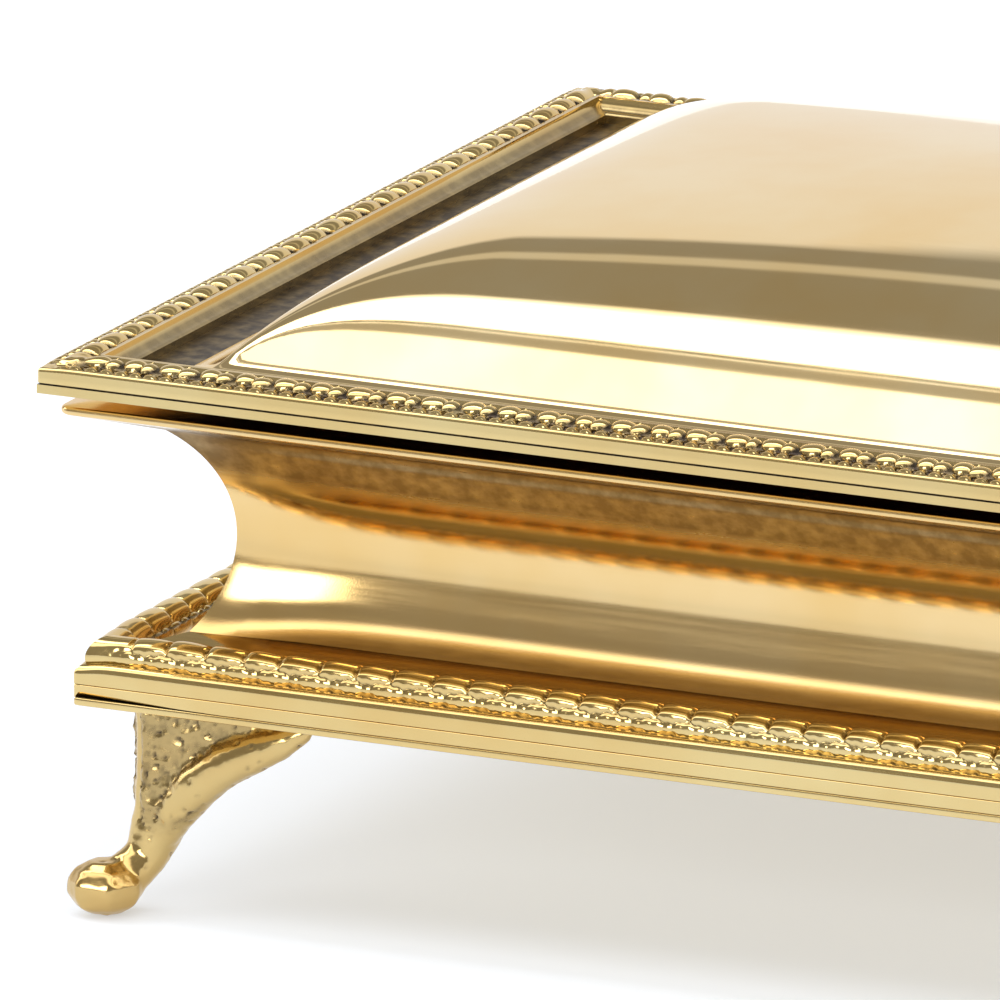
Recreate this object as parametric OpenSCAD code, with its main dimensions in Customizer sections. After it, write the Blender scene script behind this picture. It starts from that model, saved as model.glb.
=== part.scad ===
// Footed brass needle case: a hinged pillow lid on concave walls, gadroon mouldings and four cabriole feet.
// The origin is on the floor, under the middle of the lid. +X is to the right along the front, +Y to the back.

/* [Outline] */
// Length of one gadroon lobe along the mouldings
lobe_pitch = 3.2; // [3:0.1:3.6]
// Lobes along the front edge of the lid
front_lobes = 50; // [40:2:60]
// Lobes along each side edge of the lid
side_lobes = 30; // [26:2:40]

/* [Base] */
// Height of the cast feet
foot_h = 17; // [15:0.5:20]
// Thickness of the bottom plate
bottom_t = 0.65; // [0.5:0.05:1]
// Thickness of the frame between the bottom plate and the base moulding
frame_t = 1.05; // [0.8:0.05:1.4]
// How far the base stands in from the edge of the lid
base_inset = 2; // [1.5:0.1:3]
// Height of the flat edge of the base moulding
base_edge_h = 1.6; // [1.2:0.1:2]
// Radius of the rounded lobes of the base moulding
base_lobe_r = 2.75; // [2.5:0.05:3]

/* [Walls] */
// Height of the walls from the frame to the top of the lip
wall_h = 22.3; // [20:0.1:25]
// Radius of the hollow of the walls
scotia_r = 11.5; // [10.5:0.1:12]
// Metal left behind the deepest point of the hollow
wall_t = 1.1; // [0.8:0.1:2]
// Thickness of the thin lip at the top of the walls
lip_t = 0.7; // [0.5:0.1:1]
// How far the lip stands in from the edge of the lid
lip_inset = 1.1; // [0.8:0.1:1.5]

/* [Lid] */
// Gap between the lip of the walls and the lid
lid_gap = 1.17; // [1:0.01:1.4]
// Thickness of the flat plate of the lid
lid_plate_t = 0.7; // [0.6:0.05:1]
// Height of the flat outer edge of the lid moulding
lid_edge_h = 1.44; // [1.2:0.02:1.8]
// Width of the lid moulding
lid_rail_w = 5; // [4.6:0.1:5.4]
// Radius of the rope of lobes on the lid moulding
lid_rope_r = 1.3; // [1.2:0.05:1.4]
// Width of the flat channel between the lid moulding and the dome
channel_w = 3.5; // [3:0.5:7]
// Height of the dome above the plate of the lid
dome_rise = 12.7; // [11.6:0.1:13.5]
// Radius of the rounded edge of the dome
dome_edge_r = 27; // [25:1:28]
// Slope of the dome where it meets the plate, in degrees
dome_edge_slope = 54; // [50:1:56]
// Thickness of the dome sheet
dome_t = 0.8; // [0.6:0.1:1.2]

/* [Hinges] */
// Length of each hinge
hinge_l = 24; // [18:1:30]
// Distance from the middle of the case to the middle of each hinge
hinge_x = 48; // [40:1:50]
// Outer radius of the hinge knuckles
knuckle_r = 1; // [0.9:0.05:1]
// Radius of the hinge pins
pin_r = 0.5; // [0.4:0.05:0.55]
// Thickness of the hinge leaves
leaf_t = 0.45; // [0.4:0.05:0.5]
// Width of the hinge leaves, measured from the pin
leaf_w = 7; // [5:0.5:8]

/* [Lining] */
// Thickness of the velvet covered boards inside the walls
liner_t = 1.4; // [1:0.1:2]
// Thickness of the velvet covered board under the lid
lid_liner_t = 1.2; // [0.8:0.1:1.4]
// Thickness of the padded floor
pad_t = 5; // [3:0.5:8]

/* [Hidden] */
$fn = 96;
lid_l = front_lobes * lobe_pitch;
lid_d = side_lobes * lobe_pitch;

// Heights above the floor, from the feet up
frame_z = foot_h + bottom_t;
base_z = frame_z + frame_t;
lip_top_z = base_z + wall_h;
lid_z = lip_top_z + lid_gap;
channel_z = lid_z + lid_plate_t;
lid_edge_z = channel_z + lid_edge_h;

// Distances inward from the outer edge of the lid
wall_in = scotia_r + wall_t;
liner_gap = 0.05;
liner_out = wall_in + liner_gap;
liner_in = liner_out + liner_t;
dome_in = lid_rail_w + channel_w;
mitre_depth = 20;

// The hollow of the walls is a cylinder centred level with the outer edge of the lid
scotia_z = base_z + 10.8;
wall_foot_n = 8.25;
wall_foot_z = scotia_z - sqrt(scotia_r ^ 2 - wall_foot_n ^ 2);
flare_n = 7.4;
flare_z = scotia_z + sqrt(scotia_r ^ 2 - flare_n ^ 2);
moulding_in = wall_foot_n - liner_gap;

// The pin lies inside the gap, so the lid's back edge meets the lip of the wall just past the open position
hinge_y = lid_d / 2 - 1.3;
hinge_z = (lip_top_z + lid_z) / 2;
knuckles = 5;
knuckle_l = hinge_l / knuckles;
running_gap = 0.04;
knuckle_gap = 0.1;
end_gap = 0.06;

// Places along the foot, as distances in from both outer edges of the lid
toe_n = 3.9;
ankle_n = 6.4;
shank_n = 7.4;
knee_n = 8.2;
peg_n = 8.6;
peg_r = 1.2;
wing_tip_n = 22;
wing_side_n = 4.6;
foot_fn = 24;

brass = [0.80, 0.62, 0.27];
bright_brass = [0.90, 0.74, 0.38];
dark_brass = [0.62, 0.46, 0.18];
velvet = [0.30, 0.05, 0.09];

SIDES = ["front", "right", "back", "left"];
ENDS = ["left", "right"];
CORNERS = ["front_left", "front_right", "back_left", "back_right"];

function is_long(side) = side == "front" || side == "back";
function side_length(side) = is_long(side) ? lid_l : lid_d;
function side_half(side) = (is_long(side) ? lid_d : lid_l) / 2;
function side_turn(side) = 90 * search([side], SIDES)[0];
function end_x(end) = end == "left" ? -hinge_x : hinge_x;

// A flat sheet that follows the outline of the lid, standing in from it by inset
module sheet(inset, z, thickness) {
    translate([inset - lid_l / 2, inset - lid_d / 2, z])
        cube([lid_l - 2 * inset, lid_d - 2 * inset, thickness]);
}

// Runs a profile, drawn inward and up from the outer edge of the lid, along one side with mitred ends
module mitred_side(side) {
    length = side_length(side);
    half = side_half(side);
    rotate([0, 0, side_turn(side)])
        intersection() {
            translate([-length / 2, -half, 0])
                rotate([90, 0, 90])
                    linear_extrude(length) children();
            linear_extrude(lid_edge_z + dome_rise)
                polygon([
                    [-length / 2, -half],
                    [length / 2, -half],
                    [length / 2 - mitre_depth, mitre_depth - half],
                    [mitre_depth - length / 2, mitre_depth - half]
                ]);
        }
}

// Lobed rope on a flat edge, with a small cove on the inner side
module lid_moulding_profile() {
    fillet_n = 3.9;
    fillet_up = 0.45;
    cove_r = lid_rail_w - fillet_n;
    edge_round = 0.35;
    rope_n = 2.2;
    rope_down = 0.5;
    difference() {
        union() {
            translate([0, channel_z]) square([lid_rail_w, lid_edge_h - edge_round]);
            translate([edge_round, channel_z]) square([lid_rail_w - edge_round, lid_edge_h]);
            translate([edge_round, lid_edge_z - edge_round]) circle(edge_round);
            intersection() {
                translate([rope_n, lid_edge_z - rope_down]) circle(lid_rope_r);
                translate([0, channel_z]) square([lid_rail_w, lid_edge_h + lid_rope_r]);
            }
            translate([rope_n, lid_edge_z - rope_down]) square([fillet_n - rope_n, rope_down + fillet_up]);
        }
        translate([lid_rail_w, lid_edge_z]) circle(cove_r);
    }
}

// Rounded lobes that lean against the foot of the wall, on a flat edge
module base_moulding_profile() {
    translate([base_inset, base_z]) square([moulding_in - base_inset, base_edge_h]);
    intersection() {
        translate([base_inset + 3.4, base_z + 0.5]) circle(base_lobe_r);
        translate([base_inset, base_z]) square([moulding_in - base_inset, wall_h]);
    }
}

// Deep hollow below a flare, which runs out to a thin rounded lip at the top
module wall_profile() {
    lip_n = lip_inset + lip_t / 2;
    difference() {
        union() {
            polygon([
                [lip_n, lip_top_z - lip_t],
                [flare_n, flare_z],
                [wall_foot_n, wall_foot_z],
                [wall_foot_n, base_z],
                [wall_in, base_z],
                [wall_in, lip_top_z],
                [lip_n, lip_top_z]
            ]);
            translate([lip_n, lip_top_z - lip_t / 2]) circle(lip_t / 2);
        }
        intersection() {
            translate([0, scotia_z]) circle(scotia_r);
            translate([0, base_z]) square([wall_in, flare_z - base_z]);
        }
    }
}

// Groove for one hinge, round its pin, along its whole length
module hinge_groove(end) {
    length = hinge_l + 2 * knuckle_gap;
    translate([end_x(end) - length / 2, hinge_y, hinge_z])
        rotate([0, 90, 0])
            cylinder(r = knuckle_r + knuckle_gap, h = length);
}

module wall(side) {
    color(brass)
        difference() {
            mitred_side(side) wall_profile();
            if (side == "back") for (end = ENDS) hinge_groove(end);
        }
}

module base_moulding(side) {
    color(brass) mitred_side(side) base_moulding_profile();
}

module lid_moulding(side) {
    color(bright_brass) mitred_side(side) lid_moulding_profile();
}

module liner(side) {
    color(velvet)
        mitred_side(side)
            translate([liner_out, frame_z])
                square([liner_t, lid_z - liner_gap * 2 - frame_z]);
}

module lid_plate() {
    color(brass)
        difference() {
            sheet(0, lid_z, lid_plate_t);
            for (end = ENDS) hinge_groove(end);
        }
}

// Points of an arc about [x, z], with each angle measured from straight up
function arc(x, z, r, from, to, steps) = [
    for (i = [0 : steps])
        let (a = from + (to - from) * i / steps)
        [x + r * sin(a), z + r * cos(a)]
];

// Section of the pillow: a wide shallow crown that runs into a tighter arc at each edge
function pillow_profile(half, rise, skirt) =
    let (
        edge_x = half - dome_edge_r * sin(dome_edge_slope),
        edge_z = -dome_edge_r * cos(dome_edge_slope),
        crown_slope = 2 * atan((rise - edge_z - dome_edge_r) / edge_x),
        crown_r = dome_edge_r + edge_x / sin(crown_slope)
    )
    concat(
        [[half, -skirt]],
        arc(edge_x, edge_z, dome_edge_r, dome_edge_slope, crown_slope, 12),
        arc(0, rise - crown_r, crown_r, 0.75 * crown_slope, -0.75 * crown_slope, 6),
        arc(-edge_x, edge_z, dome_edge_r, -crown_slope, -dome_edge_slope, 12),
        [[-half, -skirt]]
    );

// The solid under the dome, or with a shrink the hollow inside it
module pillow(shrink, skirt) {
    edge_shrink = shrink / sin(dome_edge_slope);
    half_l = lid_l / 2 - dome_in - edge_shrink;
    half_d = lid_d / 2 - dome_in - edge_shrink;
    intersection() {
        rotate([90, 0, 0])
            linear_extrude(2 * half_d, center = true)
                polygon(pillow_profile(half_l, dome_rise - shrink, skirt));
        rotate([90, 0, 90])
            linear_extrude(2 * half_l, center = true)
                polygon(pillow_profile(half_d, dome_rise - shrink, skirt));
    }
}

module lid_dome() {
    color(bright_brass)
        translate([0, 0, channel_z])
            difference() {
                pillow(0, 0);
                pillow(dome_t, 1);
            }
}

module lid_liner() {
    liner_clearance = 0.9;
    color(velvet) sheet(liner_in + liner_clearance, lid_z - lid_liner_t, lid_liner_t);
}

module peg_holes() {
    for (x = [-1, 1], y = [-1, 1])
        translate([x * (lid_l / 2 - peg_n), y * (lid_d / 2 - peg_n), foot_h])
            cylinder(r = peg_r, h = bottom_t + frame_t);
}

module base_frame() {
    color(brass)
        difference() {
            sheet(base_inset, frame_z, frame_t);
            sheet(wall_in, foot_h, wall_h);
            peg_holes();
        }
}

module bottom_plate() {
    color(dark_brass)
        difference() {
            sheet(base_inset, foot_h, bottom_t);
            peg_holes();
        }
}

module needle_pad() {
    color(velvet) sheet(liner_in + liner_gap, frame_z, pad_t);
}

// Knuckles of one leaf: the first and every second one for the case, those between for the lid
module knuckle_set(end, first, radius, shorten) {
    for (i = [first : 2 : knuckles - 1])
        translate([end_x(end) - hinge_l / 2 + i * knuckle_l + shorten, hinge_y, hinge_z])
            rotate([0, 90, 0])
                cylinder(r = radius, h = knuckle_l - 2 * shorten);
}

module hinge_leaf(end, first, leaf_z) {
    color(brass)
        difference() {
            union() {
                translate([end_x(end) - hinge_l / 2, hinge_y - leaf_w, leaf_z])
                    cube([hinge_l, leaf_w, leaf_t]);
                knuckle_set(end, first, knuckle_r, end_gap);
            }
            knuckle_set(end, 1 - first, knuckle_r + knuckle_gap, -end_gap);
            translate([end_x(end), hinge_y, hinge_z])
                rotate([0, 90, 0])
                    cylinder(r = pin_r + running_gap, h = hinge_l + 1, center = true);
        }
}

module hinge_pin(end) {
    color(dark_brass)
        translate([end_x(end), hinge_y, hinge_z])
            rotate([0, 90, 0])
                cylinder(r = pin_r, h = hinge_l, center = true);
}

// A round mass of the casting, on the diagonal of the corner
module joint_ball(n, z, r) {
    translate([n, n, z]) sphere(r, $fn = foot_fn);
}

module knee_top(r, z) {
    translate([knee_n, knee_n, z]) cylinder(r = r, h = foot_h - z, $fn = foot_fn);
}

// Bracket that runs from the knee along one edge of the base, up under the bottom plate
module knee_wing() {
    hull() {
        knee_top(2.2, foot_h - 4);
        translate([wing_tip_n, wing_side_n, foot_h - 0.8])
            cylinder(r = 0.8, h = 0.8, $fn = foot_fn);
        translate([wing_tip_n / 2 + 1, wing_side_n, foot_h - 2.6])
            cylinder(r = 1.5, h = 2.6, $fn = foot_fn);
    }
}

// Cast cabriole foot at the front left corner
module cabriole_foot() {
    toe_r = 3.2;
    hull() {
        translate([toe_n, toe_n, 0]) cylinder(r = 2.3, h = 1, $fn = foot_fn);
        translate([toe_n, toe_n, 1.4]) cylinder(r = toe_r, h = 0.6, $fn = foot_fn);
        joint_ball(toe_n + 0.5, 2.3, 1.6);
    }
    hull() {
        joint_ball(toe_n + 0.9, 2.5, 1.6);
        joint_ball(ankle_n, 5, 1.8);
    }
    hull() {
        joint_ball(ankle_n, 5, 1.8);
        joint_ball(shank_n, 8, 2.1);
    }
    hull() {
        joint_ball(shank_n, 8, 2.1);
        knee_top(3.2, foot_h - 4);
    }
    knee_wing();
    mirror([1, -1, 0]) knee_wing();
    translate([peg_n, peg_n, foot_h - 1]) cylinder(r = peg_r, h = 1 + bottom_t + frame_t);
}

module foot(corner) {
    at_right = corner == "front_right" || corner == "back_right";
    at_back = corner == "back_left" || corner == "back_right";
    color(brass)
        mirror([at_right ? 1 : 0, 0, 0])
            mirror([0, at_back ? 1 : 0, 0])
                translate([-lid_l / 2, -lid_d / 2, 0]) cabriole_foot();
}

lid_plate();
lid_dome();
lid_liner();
base_frame();
bottom_plate();
needle_pad();
for (side = SIDES) {
    lid_moulding(side);
    wall(side);
    base_moulding(side);
    liner(side);
}
for (end = ENDS) {
    hinge_leaf(end, 1, lid_z - leaf_t);
    hinge_leaf(end, 0, lip_top_z);
    hinge_pin(end);
}
for (corner = CORNERS)
    foot(corner);
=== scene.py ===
"""Looks of the footed brass needle case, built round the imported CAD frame.

Lengths are in millimetres until a mesh is made, then in metres. A point on a side is (n, z): n is the
distance inward from the outer edge of the lid and z the height above the floor.
"""
import math

import bmesh
import bpy
import numpy as np
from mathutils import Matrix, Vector, noise as mnoise


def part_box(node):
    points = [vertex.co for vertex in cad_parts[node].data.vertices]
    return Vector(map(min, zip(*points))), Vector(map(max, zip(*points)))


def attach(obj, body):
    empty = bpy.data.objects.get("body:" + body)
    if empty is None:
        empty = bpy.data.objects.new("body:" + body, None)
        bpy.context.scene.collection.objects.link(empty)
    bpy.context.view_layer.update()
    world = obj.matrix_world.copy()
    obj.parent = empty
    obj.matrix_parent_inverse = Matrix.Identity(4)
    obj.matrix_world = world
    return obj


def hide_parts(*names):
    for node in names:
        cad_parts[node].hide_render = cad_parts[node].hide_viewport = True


MM = 0.001

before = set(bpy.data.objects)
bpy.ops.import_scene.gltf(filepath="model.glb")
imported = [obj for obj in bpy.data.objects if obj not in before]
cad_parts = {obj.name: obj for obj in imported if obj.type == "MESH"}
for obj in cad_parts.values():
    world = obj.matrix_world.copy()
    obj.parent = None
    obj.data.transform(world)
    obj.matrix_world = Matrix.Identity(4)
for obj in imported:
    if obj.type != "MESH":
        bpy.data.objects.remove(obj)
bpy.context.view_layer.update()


def box_mm(node):
    low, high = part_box(node)
    return np.array(low) / MM, np.array(high) / MM


# Driving sizes, read from the CAD frame
lid_low, lid_high = box_mm("lid_plate")
LID_L = lid_high[0] - lid_low[0]
LID_D = lid_high[1] - lid_low[1]
CHANNEL_Z = lid_high[2]
LID_EDGE_H = 1.44
LID_EDGE_Z = CHANNEL_Z + LID_EDGE_H
LID_RAIL_W = box_mm("lid_moulding_left")[1][0] - lid_low[0]
DOME_IN = box_mm("lid_dome")[0][0] - lid_low[0]
DOME_RISE = box_mm("lid_dome")[1][2] - CHANNEL_Z
BOTTOM_LOW, BOTTOM_HIGH = box_mm("bottom_plate")
BASE_INSET = BOTTOM_LOW[0] - lid_low[0]
FOOT_H = BOTTOM_LOW[2]
FRAME_LOW_Z = BOTTOM_HIGH[2]
BASE_Z = box_mm("base_frame")[1][2]
WALL_LOW, WALL_HIGH = box_mm("wall_front")
LIP_INSET = WALL_LOW[0] - lid_low[0]
WALL_IN = WALL_HIGH[1] - lid_low[1]
LIP_TOP_Z = WALL_HIGH[2]
LOBE_PITCH = LID_L / 50
SIDES = ("front", "right", "back", "left")


# ---------------------------------------------------------------- mesh helpers

def new_object(name, vertices, faces, smooth_angle=40.0):
    """A mesh object from millimetre vertices, smooth shaded with sharp edges above an angle."""
    mesh = bpy.data.meshes.new(name)
    mesh.from_pydata((np.asarray(vertices, float) * MM).tolist(), [], faces)
    mesh.validate()
    mesh.update()
    mesh.shade_smooth()
    mesh.set_sharp_from_angle(angle=math.radians(smooth_angle))
    piece = bpy.data.objects.new(name, mesh)
    bpy.context.scene.collection.objects.link(piece)
    return piece


def set_attribute(piece, name, values):
    attribute = piece.data.attributes.new(name, "FLOAT", "POINT")
    attribute.data.foreach_set("value", np.asarray(values, np.float32).ravel())


def finish_piece(piece, body, slot, material, *nodes):
    piece.data.materials.append(material)
    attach(piece, body)
    if nodes:
        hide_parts(*nodes)
    return piece


def arc(centre_n, centre_z, radius, start, end, steps):
    """Points of an arc in the (n, z) plane, angles in degrees from +n towards +z."""
    angles = np.radians(np.linspace(start, end, steps + 1))
    return [(centre_n + radius * math.cos(a), centre_z + radius * math.sin(a)) for a in angles]


def line(start, end, step):
    """Points from start towards end, about a step apart, without the end point."""
    start, end = np.array(start, float), np.array(end, float)
    count = max(1, int(round(np.linalg.norm(end - start) / step)))
    return [tuple(start + (end - start) * i / count) for i in range(count)]


def outline_normals(outline):
    """Outward unit normals of a closed counter-clockwise outline."""
    ahead = np.roll(outline, -1, axis=0) - outline
    behind = outline - np.roll(outline, 1, axis=0)
    ahead /= np.maximum(np.linalg.norm(ahead, axis=1, keepdims=True), 1e-9)
    behind /= np.maximum(np.linalg.norm(behind, axis=1, keepdims=True), 1e-9)
    tangent = ahead + behind
    tangent /= np.maximum(np.linalg.norm(tangent, axis=1, keepdims=True), 1e-9)
    return np.stack([tangent[:, 1], -tangent[:, 0]], axis=1)


def side_place(side, along, n):
    """Case X and Y of points on one side, from the distance along it and in from the lid's edge."""
    half_l, half_d = LID_L / 2, LID_D / 2
    if side == "front":
        return along - half_l, n - half_d
    if side == "right":
        return half_l - n, along - half_d
    if side == "back":
        return half_l - along, half_d - n
    return n - half_l, half_d - along


def side_length(side):
    return LID_L if side in ("front", "back") else LID_D


def round_corner(along, n, length, inset, radius):
    """Squashes the square plan corner of a side into a round one, inside the corner's radius."""
    near_end = np.minimum(along, length - along) - inset
    out_side = np.clip(radius - (n - inset), 0, None)
    out_end = np.clip(radius - near_end, 0, None)
    reach = np.hypot(out_side, out_end)
    scale = np.where(reach > 0, np.maximum(out_side, out_end) / np.maximum(reach, 1e-9), 1)
    new_n = np.where(out_side > 0, n + out_side * (1 - scale), n)
    shift = out_end * (1 - scale)
    new_along = np.where(along < length / 2, along + shift, along - shift)
    return new_along, new_n


def sweep_side(
    name, side, outline, stations, relief=None, fade=2.0, corner=(0.0, 0.0), wear=0.0, patina_and_shade=None,
):
    """Runs a closed outline along one side with mitred ends.

    relief(along, n, z) lifts the surface along its normal and fades out near the mitres. corner is the inset
    and radius of the rounded plan corner, wear how far its top is rubbed down, and the last argument, called
    with (n, z, lift), gives the patina, and on the base ring and bottom plate the painted shade in the gap
    between them.
    """
    outline = np.array(outline, float)
    normals = outline_normals(outline)
    length = side_length(side)
    share = np.asarray(stations, float)[:, None]
    n = outline[:, 0][None, :] + 0 * share
    z = outline[:, 1][None, :] + 0 * share
    along = n + (length - 2 * n) * share
    lift = np.zeros_like(along)
    if relief is not None:
        to_mitre = np.minimum(along - n, length - n - along)
        keep = np.clip(to_mitre / fade, 0, 1)
        keep = keep * keep * (3 - 2 * keep)
        lift = relief(along, n, z) * keep
    lifted_n = n + lift * normals[:, 0][None, :]
    lifted_z = z + lift * normals[:, 1][None, :]
    inset, radius = corner
    if wear:
        to_corner = np.hypot(np.minimum(along, length - along) - inset, lifted_n - inset)
        height = np.clip((lifted_z - outline[:, 1].min()) / 1.5, 0, 1)
        lifted_z = lifted_z - wear * height * np.exp(-(to_corner / 1.7) ** 2)
    if radius:
        along, lifted_n = round_corner(along, lifted_n, length, inset, radius)
    x, y = side_place(side, along, lifted_n)
    vertices = np.stack([x, y, lifted_z], axis=2).reshape(-1, 3)
    points = outline.shape[0]
    faces = []
    for i in range(len(stations) - 1):
        row = i * points
        for j in range(points):
            k = (j + 1) % points
            faces.append((row + j, row + k, row + points + k, row + points + j))
    last = (len(stations) - 1) * points
    faces.append(tuple(range(points - 1, -1, -1)))
    faces.append(tuple(last + j for j in range(points)))
    piece = new_object(name, vertices, faces, 40)
    # The patina attribute holds patina, and on the base ring and bottom plate painted shade.
    if patina_and_shade is not None:
        set_attribute(piece, "patina", np.clip(patina_and_shade(n, z, lift), 0, 1))
    return piece


def even_stations(length, step):
    return np.linspace(0, 1, int(round(length / step)) + 1)


def end_stations(length, step, near, reach):
    """Stations close together near both ends and wide apart between."""
    count = int(round(reach / near))
    start = np.linspace(0, reach / length, count, endpoint=False)
    middle = np.linspace(reach / length, 1 - reach / length, int(round((length - 2 * reach) / step)) + 1)
    return np.concatenate([start, middle, 1 - start[::-1]])


# ---------------------------------------------------------------- relief patterns

def ellipsoid(along, across, pitch, centre, size, lean):
    """Height from 0 to 1 of a row of leaning oval mounds. centre and size are (along, across)."""
    u = np.mod(along - centre[0] + pitch / 2, pitch) - pitch / 2
    v = across - centre[1]
    cos, sin = math.cos(lean), math.sin(lean)
    a = (u * cos + v * sin) / size[0]
    b = (v * cos - u * sin) / size[1]
    return np.sqrt(np.clip(1 - a * a - b * b, 0, 1))


def window(value, low, high, edge):
    """One between low and high, falling to nothing over the edge width."""
    return np.clip((value - low) / edge, 0, 1) * np.clip((high - value) / edge, 0, 1)


def lid_relief(along, n, z):
    """Rope with a row of half-round beads outside it.

    The long sides have a large and a small strand to each pitch, the ends one broad strand.
    """
    pitch = LOBE_PITCH
    bead_pitch = pitch / 2.5
    wander = 0.12 * np.sin(along * 0.83) + 0.08 * np.sin(along * 2.17 + 1.3)
    if along.max() > LID_D:
        large = ellipsoid(along + wander, n, pitch, (1.0, 2.45), (0.98, 1.2), math.radians(-12))
        small = ellipsoid(along + wander, n, pitch, (2.35, 2.15), (0.62, 1.0), math.radians(-16))
    else:
        large = ellipsoid(along + wander, n, pitch, (1.0, 2.35), (1.5, 1.15), math.radians(-24))
        small = 0 * large
    beads = ellipsoid(along + 0.5 * wander, n, bead_pitch, (0.4, 0.78), (0.56, 0.5), 0)
    rope_band = window(n, 1.15, 3.5, 0.15)
    bead_band = window(n, 0.36, 1.3, 0.1)
    sunk = -0.26 * np.maximum(rope_band, bead_band)
    top = z > LID_EDGE_Z - 0.1
    return top * (sunk + np.maximum(0.52 * large, 0.38 * small) * rope_band + 0.42 * beads * bead_band)


def base_relief(along, n, z):
    """Row of broad overlapping bosses, with a fine groove outside it and small beads inside it."""
    pitch = LOBE_PITCH
    across = n - BASE_INSET
    wander = 0.15 * np.sin(along * 0.71 + 0.4) + 0.1 * np.sin(along * 1.9)
    v = (across - 2.15) / 1.3
    u = np.mod((along + wander) / pitch - 0.05 * v * v - 0.04 * v, 1)
    to_notch = np.minimum(u, 1 - u) * pitch
    notch = np.exp(-((to_notch / 0.17) ** 2))
    swell = 0.3 * np.sin(np.pi * u) ** 0.5 * (1 - 0.6 * u)
    boss = (swell - 0.24 * notch) * window(across, 0.9, 3.45, 0.25)
    scallop = 0.06 * np.cos(2 * np.pi * (along + wander) / pitch + 0.6) + 0.03 * np.sin(along * 7.1)
    groove = -0.14 * np.exp(-(((across - 0.86 - scallop) / 0.09) ** 2))
    inner = ellipsoid(along + 2 * wander, across, pitch / 2.2, (0.9, 3.8), (0.6, 0.3), 0.2)
    return window(across, 0.5, 4.6, 0.1) * (boss + groove + 0.26 * inner) * (z > BASE_Z + 1.2)


def frame_relief(along, n, z):
    """The ring has sprung up from the bottom plate at its corners, which leaves a thin wedge of shadow."""
    length = LID_L if along.max() > LID_D else LID_D
    to_corner = np.minimum(along, length - along) - BASE_INSET
    sprung = 0.4 * np.clip(1 - to_corner / 13, 0, 1) ** 1.3
    return -sprung * (z < FRAME_LOW_Z + 0.05)


def gap_painted_shade(n, z, lift):
    """Painted shade: black on the faces inside the gap between the ring and the bottom plate, clean on the
    outer edge.
    """
    return 0.95 * (n > BASE_INSET + 0.1) * (z > FOOT_H + 0.1) * (z < FRAME_LOW_Z + 0.5)


def lid_dirt(n, z, lift):
    notch = np.clip(-lift / 0.22, 0, 1)
    cove = 0.62 * np.clip((n - 3.95) / 0.25, 0, 1)
    fillet = 0.25 * window(n, 3.35, 3.9, 0.15)
    seam = 0.95 * (z < CHANNEL_Z + 0.15) * (n < 0.2)
    return np.maximum(np.maximum(np.maximum(notch, cove), fillet) * (n > 0.3), seam)


def base_dirt(n, z, lift):
    across = n - BASE_INSET
    notch = 0.7 * np.clip((-lift - 0.06) / 0.14, 0, 1)
    beside_beads = 0.8 * window(across, 3.4, 4.5, 0.3) * np.clip(1.1 - lift / 0.2, 0.1, 1)
    return np.maximum(notch, beside_beads) * (across > 0.35)


def hollow_n(z):
    """Depth of the wall's hollow away from the corners: two arcs that run out straight."""
    drop = z - HOLLOW_Z
    radius = np.where(drop < 0, HOLLOW_LOW[0], HOLLOW_HIGH[0])
    limit = np.where(drop < 0, HOLLOW_LOW[1], HOLLOW_HIGH[1])
    reach = np.abs(drop)
    bend = radius * np.sin(limit)
    on_arc = HOLLOW_IN - radius + np.sqrt(np.maximum(radius ** 2 - reach ** 2, 0))
    straight = HOLLOW_IN - radius * (1 - np.cos(limit)) - (reach - bend) * np.tan(limit)
    return np.where(reach < bend, on_arc, straight)


def wall_dirt(n, z, lift):
    """Tarnish where polishing doesn't reach: under the lip and along the foot."""
    under_lip = 0.85 * np.clip((z - 33.6) / 1.6, 0, 1) * np.clip((LIP_TOP_Z - 1.0 - z) / 0.8, 0, 1)
    foot = 0.15 * np.clip((23.4 - z) / 1.6, 0, 1)
    return np.maximum(under_lip, foot)


def wall_hollow(along, n, z):
    """The sheet is bent deeper away from the mitred corners."""
    length = LID_L if along.max() > LID_D else LID_D
    to_mitre = np.minimum(along - n, length - n - along)
    grow = 1 - np.exp(-((np.maximum(to_mitre, 0) / 6.5) ** 1.5))
    square = np.sqrt(np.maximum(SCOTIA_R ** 2 - (z - SCOTIA_Z) ** 2, 1))
    slope = square / SCOTIA_R
    outside = (n < WALL_IN - 0.3) * window(z, BASE_Z, SCOTIA_Z + 8.7, 0.8)
    return -(hollow_n(z) - square) * slope * grow * outside


# ---------------------------------------------------------------- outlines of the sides

def lid_outline():
    edge = LID_EDGE_Z
    pts = [(0.16, CHANNEL_Z), (0.14, CHANNEL_Z + 0.1), (0.02, CHANNEL_Z + 0.14)]
    pts += line((0.0, CHANNEL_Z + 0.18), (0.0, edge - 0.35), 0.5)
    pts += arc(0.35, edge - 0.35, 0.35, 180, 90, 5)
    pts += line((0.35, edge), (1.1, edge + 0.02), 0.09)[1:]
    pts += arc(2.2, edge - 0.95, 1.47, 138, 48, 26)
    pts += line((3.3, edge + 0.4), (3.9, edge + 0.42), 0.2)[1:]
    pts += arc(LID_RAIL_W + 0.02, edge + 0.5, 1.12, 184, 262, 10)
    pts += [(LID_RAIL_W, edge - 0.75), (LID_RAIL_W, CHANNEL_Z)]
    return pts[::-1]


def base_outline():
    outer = BASE_INSET
    edge = BASE_Z + 1.6
    pts = [(outer + 0.08, BASE_Z), (outer, BASE_Z + 0.08)]
    pts += line((outer, BASE_Z + 0.08), (outer, edge - 0.6), 0.4)[1:]
    pts += arc(outer + 0.75, edge - 0.6, 0.75, 180, 96, 12)
    pts += arc(outer + 2.15, edge + 0.6, 1.42, 198, 20, 46)
    pts += line((outer + 3.6, edge + 1.0), (outer + 7.2, edge + 1.85), 0.12)
    pts += [(outer + 7.2, edge + 1.85), (outer + 7.2, BASE_Z)]
    return pts[::-1]


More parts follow.
